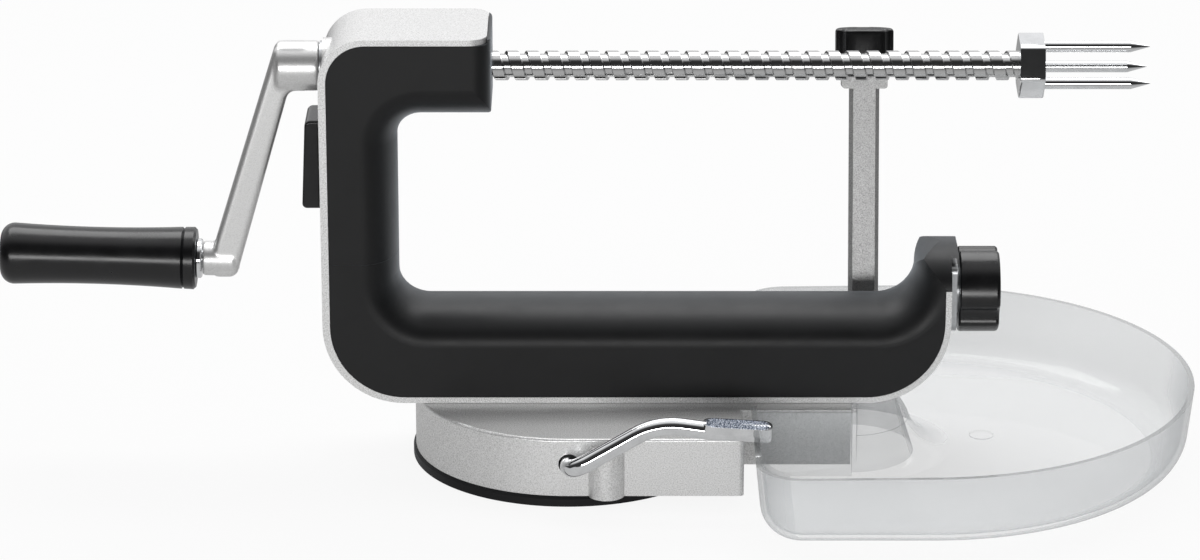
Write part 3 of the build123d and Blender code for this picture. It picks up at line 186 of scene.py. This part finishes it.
# %% [markdown]
# ## Metals
#
# Bright metal is mostly reflection, so its colour is nearly white and the interest comes from
# the roughness. The screw is cut on a lathe: its scratches run round it, which is noise pressed
# together along the screw. Plain steel has a blurred, duller gloss.

# %% Steel, chrome and bronze
def metal(name, colour, rough_low, rough_high, scratch_mm, stretch, depth_mm):
    finish, tree, shader, place, add = new_finish(name, colour, 1.0, rough_low)
    scratches = grain(add, place, scratch_mm, detail=4.0, roughness=0.7, stretch=stretch)
    tree.links.new(
        ramp(add, scratches, (0.3, rough_low), (0.75, rough_high)), shader.inputs["Roughness"]
    )
    darker = tuple(0.86 * part for part in colour)
    tree.links.new(
        ramp(add, scratches, (0.25, darker), (0.6, colour)), shader.inputs["Base Color"]
    )
    tree.links.new(bump(add, scratches, depth_mm, 0.3), shader.inputs["Normal"])
    return finish


screw_steel = metal("screw_steel", (0.66, 0.66, 0.66), 0.1, 0.18, 0.6, (6, 1, 1), 0.006)
bright_chrome = metal("bright_chrome", (0.86, 0.87, 0.88), 0.04, 0.09, 6.0, (1, 1, 1), 0.002)
plain_steel = metal("plain_steel", (0.52, 0.53, 0.54), 0.28, 0.42, 0.8, (1, 1, 1), 0.01)
bearing_bronze = metal("bearing_bronze", (0.55, 0.38, 0.18), 0.3, 0.42, 0.8, (1, 1, 1), 0.01)

# %% [markdown]
# ## Clear plastic
#
# The bowl is a thin clear shell. Seen face on it hardly shows, and where it turns away from the
# eye more plastic lies behind each point, so it goes milky grey. Layer Weight measures that turn
# and drives the shader's alpha. That is cheaper than real refraction and casts a light shadow.

# %% Clear plastic of the bowl
def clear_shell(name, rim_top):
    finish, tree, shader, place, add = new_finish(name, (0.7, 0.72, 0.73), 0.0, 0.08)
    turned = add("ShaderNodeLayerWeight", {"Blend": 0.4}).outputs["Facing"]
    veil = ramp(add, turned, (0.0, 0.3), (0.5, 0.31), (0.9, 0.8))
    # The flat top of the rim gets painted shade: more alpha and a dark grey colour, for the grey
    # line that light makes along the rim's edge.
    height = add("ShaderNodeSeparateXYZ", {}, {"Vector": place}).outputs["Z"]
    values = {"From Min": rim_top - 2.2 * mm, "From Max": rim_top - 1.6 * mm}
    near_rim = add("ShaderNodeMapRange", values, {"Value": height}).outputs["Result"]
    facing_up = add(
        "ShaderNodeSeparateXYZ", {}, {"Vector": add("ShaderNodeNewGeometry").outputs["Normal"]}
    ).outputs["Z"]
    flat = add("ShaderNodeMapRange", {"From Min": 0.6, "From Max": 0.9}, {"Value": facing_up})
    on_rim = add("ShaderNodeMath", {}, {0: near_rim, 1: flat.outputs["Result"]})
    on_rim.operation = "MULTIPLY"
    rim_shade_alpha = add("ShaderNodeMath", {1: 0.62}, {0: on_rim.outputs[0]})
    rim_shade_alpha.operation = "MULTIPLY"
    whole = add("ShaderNodeMath", {}, {0: veil, 1: rim_shade_alpha.outputs[0]})
    whole.operation = "MAXIMUM"
    tree.links.new(whole.outputs[0], shader.inputs["Alpha"])
    # Painted shade: the rim's flat top is coloured dark grey.
    rim_painted_shade = ramp(add, on_rim.outputs[0], (0.0, (0.7, 0.72, 0.73)), (1.0, (0.3, 0.31, 0.31)))
    tree.links.new(rim_painted_shade, shader.inputs["Base Color"])
    shader.inputs["Specular IOR Level"].default_value = 0.7
    waves = grain(add, place, 30.0, detail=1.0)
    tree.links.new(bump(add, waves, 0.08, 0.2), shader.inputs["Normal"])
    finish.surface_render_method = "BLENDED"
    return finish


clear_plastic = clear_shell("clear_plastic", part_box("bowl")[1].z)

# %% [markdown]
# ## Dress the ready made pieces
#
# Each solid keeps its shape and only gets its finish. The table below names the finish of every
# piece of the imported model.

# %% Give every piece its finish
finishes = {
    casting_paint: ["frame_casting", "base_housing"],
    crank_paint: ["crank_arm"],
    arm_paint: ["peeler_arm"],
    grip_black: ["upper_grip", "lower_grip"],
    knob_black: ["handle_grip", "release_slider", "arm_knob", "clamp_knob"],
    pad_rubber: ["suction_cup"],
    clear_plastic: ["bowl"],
    screw_steel: ["lead_screw"],
    bright_chrome: ["fork_hub", "fork_tines", "spindle_ferrule", "lever"],
    bearing_bronze: ["front_bush", "rear_bush", "half_nut"],
    plain_steel: [
        "base_screws", "grip_screws", "set_screws", "arm_pivot_pin", "pivot_clip", "arm_spring",
        "release_spring", "stop_washer", "handle_spindle", "lever_clip", "suction_stem",
        "arm_washer", "arm_stud", "clamp_plate", "clamp_washer", "clamp_stud",
    ],
}
for finish, names in finishes.items():
    for name in names:
        nodes[name].data.materials.clear()
        nodes[name].data.materials.append(finish)
dressed = sum(len(names) for names in finishes.values())
print("pieces with a finish:", dressed, "of", len(nodes))

# %% [markdown]
# ## Wind the thread of the lead screw
#
# The real screw has a smooth trapezoid thread: flat crests, flat roots and short slanted
# flanks. It could be a texture, but its outline shows against the background. So the outline of
# one turn is drawn as a chain of edges, and the spin operator turns it round the axis while it
# moves forward by one pitch each turn. Two cuts make the ends flat.

# %% A piece from a bmesh
def piece_from(bm, name, finish, body, smooth=True):
    """Writes a bmesh to a new object that rides on a body of the model."""
    mesh = bpy.data.meshes.new(name)
    bm.to_mesh(mesh)
    bm.free()
    mesh.polygons.foreach_set("use_smooth", [smooth] * len(mesh.polygons))
    mesh.materials.append(finish)
    piece = bpy.data.objects.new(name, mesh)
    bpy.context.scene.collection.objects.link(piece)
    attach(piece, body)
    return piece


def flat_ends(bm, low_x, high_x):
    """Cuts a bmesh square at two places along X and closes the cuts."""
    for x, side in ((low_x, -1), (high_x, 1)):
        everything = bm.verts[:] + bm.edges[:] + bm.faces[:]
        cut = bmesh.ops.bisect_plane(
            bm, geom=everything, plane_co=(x, 0, 0), plane_no=(side, 0, 0), clear_outer=True
        )
        rim = [part for part in cut["geom_cut"] if isinstance(part, bmesh.types.BMEdge)]
        bmesh.ops.holes_fill(bm, edges=rim, sides=0)


# %% The outline of one turn, wound round the axis
pitch = 6.4 * mm
crest = 4.75 * mm
root = 3.75 * mm
journal = 3.5 * mm
screw_z = 131.5 * mm
screw_low, screw_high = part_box("lead_screw")
thread_from = -73.5 * mm
thread_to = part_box("fork_hub")[0].x
turn_steps = 48
thread = bmesh.new()
soft = 0.08 * mm
outline = [    # millimetres along the screw, radius
    (-1.0, root), (-0.8, root), (0.8, root), (0.97, root), (1.06, root + soft),
    (1.12, root + 3 * soft), (1.31, crest - 3 * soft), (1.37, crest - soft), (1.46, crest),
    (1.66, crest), (4.74, crest), (4.94, crest), (5.03, crest - soft), (5.09, crest - 3 * soft),
    (5.28, root + 3 * soft), (5.34, root + soft), (5.4, root),
]
chain = [
    thread.verts.new((thread_from - 2 * pitch + along * mm, radius, screw_z))
    for along, radius in outline
]
links = [thread.edges.new(pair) for pair in zip(chain, chain[1:])]
turns = int((thread_to - thread_from) / pitch) + 4
bmesh.ops.spin(
    thread,
    geom=chain + links,
    cent=(0, 0, screw_z),
    axis=(1, 0, 0),
    dvec=(pitch / turn_steps, 0, 0),
    angle=2 * pi * turns,
    steps=turn_steps * turns,
    use_merge=False,
)
bmesh.ops.remove_doubles(thread, verts=thread.verts, dist=0.004 * mm)
flat_ends(thread, thread_from, thread_to)

# %% The plain ends of the screw
for low, high, radius in (
    (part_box("stop_washer")[0].x, thread_from, crest),
    (screw_low.x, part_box("stop_washer")[0].x, journal),
    (thread_to, screw_high.x, journal),
):
    bmesh.ops.create_cone(
        thread,
        cap_ends=True,
        segments=64,
        radius1=radius,
        radius2=radius,
        depth=high - low,
        matrix=Matrix.Translation(((low + high) / 2, 0, screw_z))
        @ Matrix.Rotation(pi / 2, 4, "Y"),
    )
bmesh.ops.recalc_face_normals(thread, faces=thread.faces)
wound_screw = piece_from(thread, "wound_screw", screw_steel, "screw", smooth=True)
sharp = wound_screw.modifiers.new("keep_edges", "EDGE_SPLIT")
sharp.split_angle = radians(40)
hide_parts("lead_screw")
print("turns of thread:", turns - 4, "faces:", len(wound_screw.data.polygons))

# %% [markdown]
# ## Knurl on the lever's pad
#
# The end of the lever is pressed flat and knurled for the thumb. A knurl is a field of small
# pyramids, which is a grid whose every second point is raised. Its edge is pulled down into the
# pad, so that the field has no open border.

# %% A field of small pyramids
pad_length, pad_width, pad_tilt = 20.4 * mm, 7.4 * mm, radians(3.5)
pad_top = Vector((64.5 - 10.8, -57.5, 14.3 + 16.7 - 2.4)) * mm
pad_top += Vector((sin(pad_tilt), 0, cos(pad_tilt))) * 2.3 * mm
pad_corner = 3.2 * mm
pyramid = 0.34 * mm
sunk = 0.5 * mm
knurl = bmesh.new()
columns, rows = 44, 16
bmesh.ops.create_grid(knurl, x_segments=columns, y_segments=rows, size=0.5)
for point in knurl.verts:
    column = round((point.co.x + 0.5) * columns)
    row = round((point.co.y + 0.5) * rows)
    inside = 0 < column < columns and 0 < row < rows
    point.co.z = pyramid if inside and (column + row) % 2 else 0.0
    corner = max(0.0, abs(point.co.x) * pad_length - pad_length / 2 + pad_corner)
    narrow = 1 - (corner / pad_corner) ** 2 * 0.55
    point.co.x *= pad_length
    point.co.y *= pad_width * narrow
border = [edge for edge in knurl.edges if edge.is_boundary]
skirt = bmesh.ops.extrude_edge_only(knurl, edges=border)["geom"]
lowered = [part for part in skirt if isinstance(part, bmesh.types.BMVert)]
bmesh.ops.translate(knurl, verts=lowered, vec=(0, 0, -sunk))
bmesh.ops.transform(
    knurl,
    matrix=Matrix.Translation(pad_top) @ Matrix.Rotation(pad_tilt, 4, "Y"),
    verts=knurl.verts,
)
bmesh.ops.recalc_face_normals(knurl, faces=knurl.faces)
# The knurl's steel colour holds painted glints and painted shade: a noise about one pyramid wide
# turns each spot dark blue-black or near white.
grooved, tree, shader, place, add = new_finish("grooved_steel", (0.3, 0.33, 0.4), 0.9, 0.3)
glint_noise = grain(add, place, 0.5, detail=2.0, roughness=0.7)
painted_glints_and_shade = ramp(
    add,
    glint_noise,
    (0.38, (0.04, 0.05, 0.08)),
    (0.5, (0.25, 0.29, 0.36)),
    (0.66, (0.85, 0.88, 0.95)),
)
tree.links.new(painted_glints_and_shade, shader.inputs["Base Color"])
piece_from(knurl, "thumb_knurl", grooved, "lever", smooth=False)
print("pyramids on the pad:", (columns - 1) * (rows - 1) // 2)

# %% [markdown]
# ## Cast crank
#
# The crank is one casting: a hub, a leaning web and a stub for the handle, which run into each
# other with soft corners. Three plain bodies are set into each other. The voxel remesh makes
# one skin of them, and a few smoothing passes round the joints as the sand mould does.

# %% Hub, web and stub
def turned_bar(bm, low, high, radius, end_round, segments=48):
    """A round bar between two points, with rounded rims."""
    along = high - low
    turn = along.to_track_quat("Z", "Y").to_matrix().to_4x4()
    made = bmesh.ops.create_cone(
        bm, cap_ends=True, segments=segments, radius1=radius, radius2=radius,
        depth=along.length, matrix=Matrix.Translation((low + high) / 2) @ turn,
    )
    rims = {edge for point in made["verts"] for edge in point.link_edges}
    rims = [edge for edge in rims if any(len(face.verts) > 4 for face in edge.link_faces)]
    bmesh.ops.bevel(
        bm, geom=rims, offset=end_round, segments=5, profile=0.5, material=-1, affect="EDGES"
    )


crank_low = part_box("crank_arm")[0]
stub_middle = 66.2 * mm
web_half = 5.0 * mm
crank = bmesh.new()
hub_left = Vector((-93.0 * mm, 0, screw_z))
hub_right = Vector((-79.1 * mm, 0, screw_z))
turned_bar(crank, hub_left, hub_right, 8.05 * mm, 1.2 * mm)
stub_left = Vector((crank_low.x + 0.4 * mm, 0, stub_middle + 0.1 * mm))
stub_right = Vector((-108.0 * mm, 0, stub_middle - 0.2 * mm))
turned_bar(crank, stub_left, stub_right, 5.6 * mm, 0.5 * mm)
web_line = [    # x and z in millimetres, seen from the front
    (-82.0, 139.0), (-93.2, 139.0), (-114.4, 71.6), (-115.5, 61.0), (-107.4, 60.9),
    (-89.2, 124.0), (-82.0, 124.0),
]
web = [crank.verts.new((x * mm, -web_half, z * mm)) for x, z in web_line]
side = crank.faces.new(web)
grown = bmesh.ops.extrude_face_region(crank, geom=[side])["geom"]
moved = [part for part in grown if isinstance(part, bmesh.types.BMVert)]
bmesh.ops.translate(crank, verts=moved, vec=(0, 2 * web_half, 0))
bmesh.ops.recalc_face_normals(crank, faces=crank.faces)
web_points = set(web) | set(moved)
cross = [
    edge for edge in crank.edges
    if set(edge.verts) <= web_points and abs(edge.verts[0].co.y - edge.verts[1].co.y) > mm
]
bmesh.ops.bevel(
    crank, geom=cross, offset=2.2 * mm, segments=4, profile=0.5, material=-1, affect="EDGES"
)
rim = [
    edge for edge in crank.edges
    if all(abs(abs(point.co.y) - web_half) < 1e-6 for point in edge.verts)
    and any(len(face.verts) > 8 for face in edge.link_faces)
    and edge.calc_length() > 0.2 * mm
    and all(point.co.x < -79.5 * mm for point in edge.verts)
]
bmesh.ops.bevel(
    crank, geom=rim, offset=1.9 * mm, segments=4, profile=0.5, material=-1, affect="EDGES"
)
rough_mesh = bpy.data.meshes.new("crank_rough")
crank.to_mesh(rough_mesh)
crank.free()
rough = bpy.data.objects.new("crank_rough", rough_mesh)
bpy.context.scene.collection.objects.link(rough)
skin = rough.modifiers.new("one_skin", "REMESH")
skin.mode = "VOXEL"
skin.voxel_size = 0.45 * mm
soften = rough.modifiers.new("soft_corners", "SMOOTH")
soften.factor = 0.5
soften.iterations = 6
evaluated = rough.evaluated_get(bpy.context.evaluated_depsgraph_get())
cast = bmesh.new()
cast.from_mesh(evaluated.to_mesh())
evaluated.to_mesh_clear()
bpy.data.objects.remove(rough)
bpy.data.meshes.remove(rough_mesh)
print("cast crank faces:", len(cast.faces))
cast_crank = piece_from(cast, "cast_crank", crank_paint, "screw")
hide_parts("crank_arm")

# %% [markdown]
# ## Six-sided hub of the fork
#
# The hub is a short bar with six polished sides. One side faces a person who stands in front of
# the machine and looks a little down, so it mirrors the dark of the room between two light
# sides.

# %% Hexagonal bar with rounded corners
hub_low, hub_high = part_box("fork_hub")
hub_radius = 10.7 * mm
hub_turn = radians(10.3)
hexagon = bmesh.new()
bmesh.ops.create_cone(
    hexagon,
    cap_ends=True,
    segments=6,
    radius1=hub_radius,
    radius2=hub_radius,
    depth=hub_high.x - hub_low.x,
    matrix=Matrix.Translation(((hub_low.x + hub_high.x) / 2, 0, screw_z))
    @ Matrix.Rotation(hub_turn, 4, "X")
    @ Matrix.Rotation(pi / 2, 4, "Y"),
)
long_edges = [
    edge for edge in hexagon.edges if abs(edge.verts[0].co.x - edge.verts[1].co.x) > mm
]
bmesh.ops.bevel(
    hexagon, geom=long_edges, offset=0.9 * mm, segments=4, profile=0.5, material=-1,
    affect="EDGES",
)
rims = [edge for edge in hexagon.edges if any(len(face.verts) > 6 for face in edge.link_faces)]
bmesh.ops.bevel(
    hexagon, geom=rims, offset=0.5 * mm, segments=3, profile=0.5, material=-1, affect="EDGES"
)
polished_hub = piece_from(hexagon, "polished_hub", bright_chrome, "screw")
sharp = polished_hub.modifiers.new("keep_edges", "EDGE_SPLIT")
sharp.split_angle = radians(20)
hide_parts("fork_hub")

# %% [markdown]
# ## Floor, light and camera
#
# The photo is a studio shot on white. The floor is a white sheet that keeps a faint shadow of
# the object. To the camera and through the clear plastic it also glows with plain white, and in
# reflections it fades to dark away from the object. One soft lamp hangs above and behind, and a
# long low one stands in front, a little to the left.

# %% Floor
floor_mesh = bpy.data.meshes.new("floor")
sheet = bmesh.new()
bmesh.ops.create_grid(sheet, x_segments=1, y_segments=1, size=4.0)
sheet.to_mesh(floor_mesh)
sheet.free()
floor = bpy.data.objects.new("floor", floor_mesh)
bpy.context.scene.collection.objects.link(floor)
floor_white, tree, shader, place, add = new_finish("floor_white", (0.86, 0.86, 0.86), 0.0, 0.9)
eye = add("ShaderNodeLightPath")
spread = add("ShaderNodeVectorMath", {}, {0: place})
spread.operation = "LENGTH"
far = ramp(add, spread.outputs["Value"], (0.2, 0.55), (0.75, 0.06))
tone = add("ShaderNodeMix", {6: (1, 1, 1, 1)}, {0: eye.outputs["Is Glossy Ray"], 7: far})
tone.data_type = "RGBA"
glow = add("ShaderNodeEmission", {"Strength": 1.0}, {"Color": tone.outputs[2]})
seen = add(
    "ShaderNodeMath",
    wires={0: eye.outputs["Is Camera Ray"], 1: eye.outputs["Is Glossy Ray"]},
)
seen.operation = "MAXIMUM"
seen_through = add(
    "ShaderNodeMath",
    wires={0: seen.outputs[0], 1: eye.outputs["Is Transmission Ray"]},
)
seen_through.operation = "MAXIMUM"
share = add("ShaderNodeMath", {1: 0.9}, {0: seen_through.outputs[0]})
share.operation = "MULTIPLY"
mixed = add(
    "ShaderNodeMixShader",
    wires={0: share.outputs[0], 1: shader.outputs["BSDF"], 2: glow.outputs["Emission"]},
)
output = tree.nodes["Material Output"]
tree.links.new(mixed.outputs["Shader"], output.inputs["Surface"])
floor_mesh.materials.append(floor_white)

# %% Lamps and the room's own light
def soft_lamp(name, place, aim, width, height, power):
    lamp = bpy.data.lights.new(name, "AREA")
    lamp.shape = "RECTANGLE"
    lamp.size, lamp.size_y = width, height
    lamp.energy = power
    stand = bpy.data.objects.new(name, lamp)
    bpy.context.scene.collection.objects.link(stand)
    stand.location = place
    stand.rotation_euler = (Vector(aim) - Vector(place)).to_track_quat("-Z", "Y").to_euler()
    return stand


soft_lamp("overhead", (0.0, 0.45, 1.0), (0.0, 0.0, 0.07), 1.5, 0.6, 9.5)
soft_lamp("low_front", (-0.2, -1.5, 0.2), (0.0, 0.0, 0.07), 1.5, 0.24, 10.5)

# %% The room: white to the eye, dark in front and bright above in reflections
room = bpy.data.worlds.new("room")
bpy.context.scene.world = room
room.use_nodes = True
tree = room.node_tree
wall = tree.nodes["Background"]
room_node = node_adder(tree)
direction = room_node("ShaderNodeTexCoord").outputs["Generated"]
parts = room_node("ShaderNodeSeparateXYZ", {}, {"Vector": direction})
behind = room_node("ShaderNodeMath", {1: 0.8}, {0: parts.outputs["Y"]})
behind.operation = "MULTIPLY"
upward = room_node("ShaderNodeMath", {}, {0: parts.outputs["Z"], 1: behind.outputs[0]})
tone = room_node("ShaderNodeValToRGB", {}, {"Fac": upward.outputs[0]})
stops = tone.color_ramp.elements
for position, grey in ((0.0, 0.03), (0.35, 0.05), (0.6, 0.5), (0.8, 0.9)):
    stop = stops[0] if position == 0.0 else stops.new(position)
    stop.position = position
    stop.color = (grey, grey, grey * 1.01, 1)
stops.remove(stops[-1])
eye = room_node("ShaderNodeLightPath")
fill = room_node(
    "ShaderNodeMix",
    {7: (0.24, 0.24, 0.245, 1)},
    {0: eye.outputs["Is Diffuse Ray"], 6: tone.outputs[0]},
)
fill.data_type = "RGBA"
seen = room_node(
    "ShaderNodeMix",
    {7: (1, 1, 1, 1)},
    {0: eye.outputs["Is Camera Ray"], 6: fill.outputs[2]},
)
seen.data_type = "RGBA"
tree.links.new(seen.outputs[2], wall.inputs["Color"])
wall.inputs["Strength"].default_value = 1.0

# %% Camera at the photo's place
camera_data = bpy.data.cameras.new("camera")
camera = bpy.data.objects.new("camera", camera_data)
bpy.context.scene.collection.objects.link(camera)
camera_data.sensor_width = 36.0
camera_data.lens = 142.2
looking_down = 19.66    # degrees
camera.location = (10.36 * mm, -1450 * mm, 576.7 * mm)
camera.rotation_euler = (radians(90 - looking_down), 0, 0)
bpy.context.scene.camera = camera
bpy.context.scene.view_settings.view_transform = "Standard"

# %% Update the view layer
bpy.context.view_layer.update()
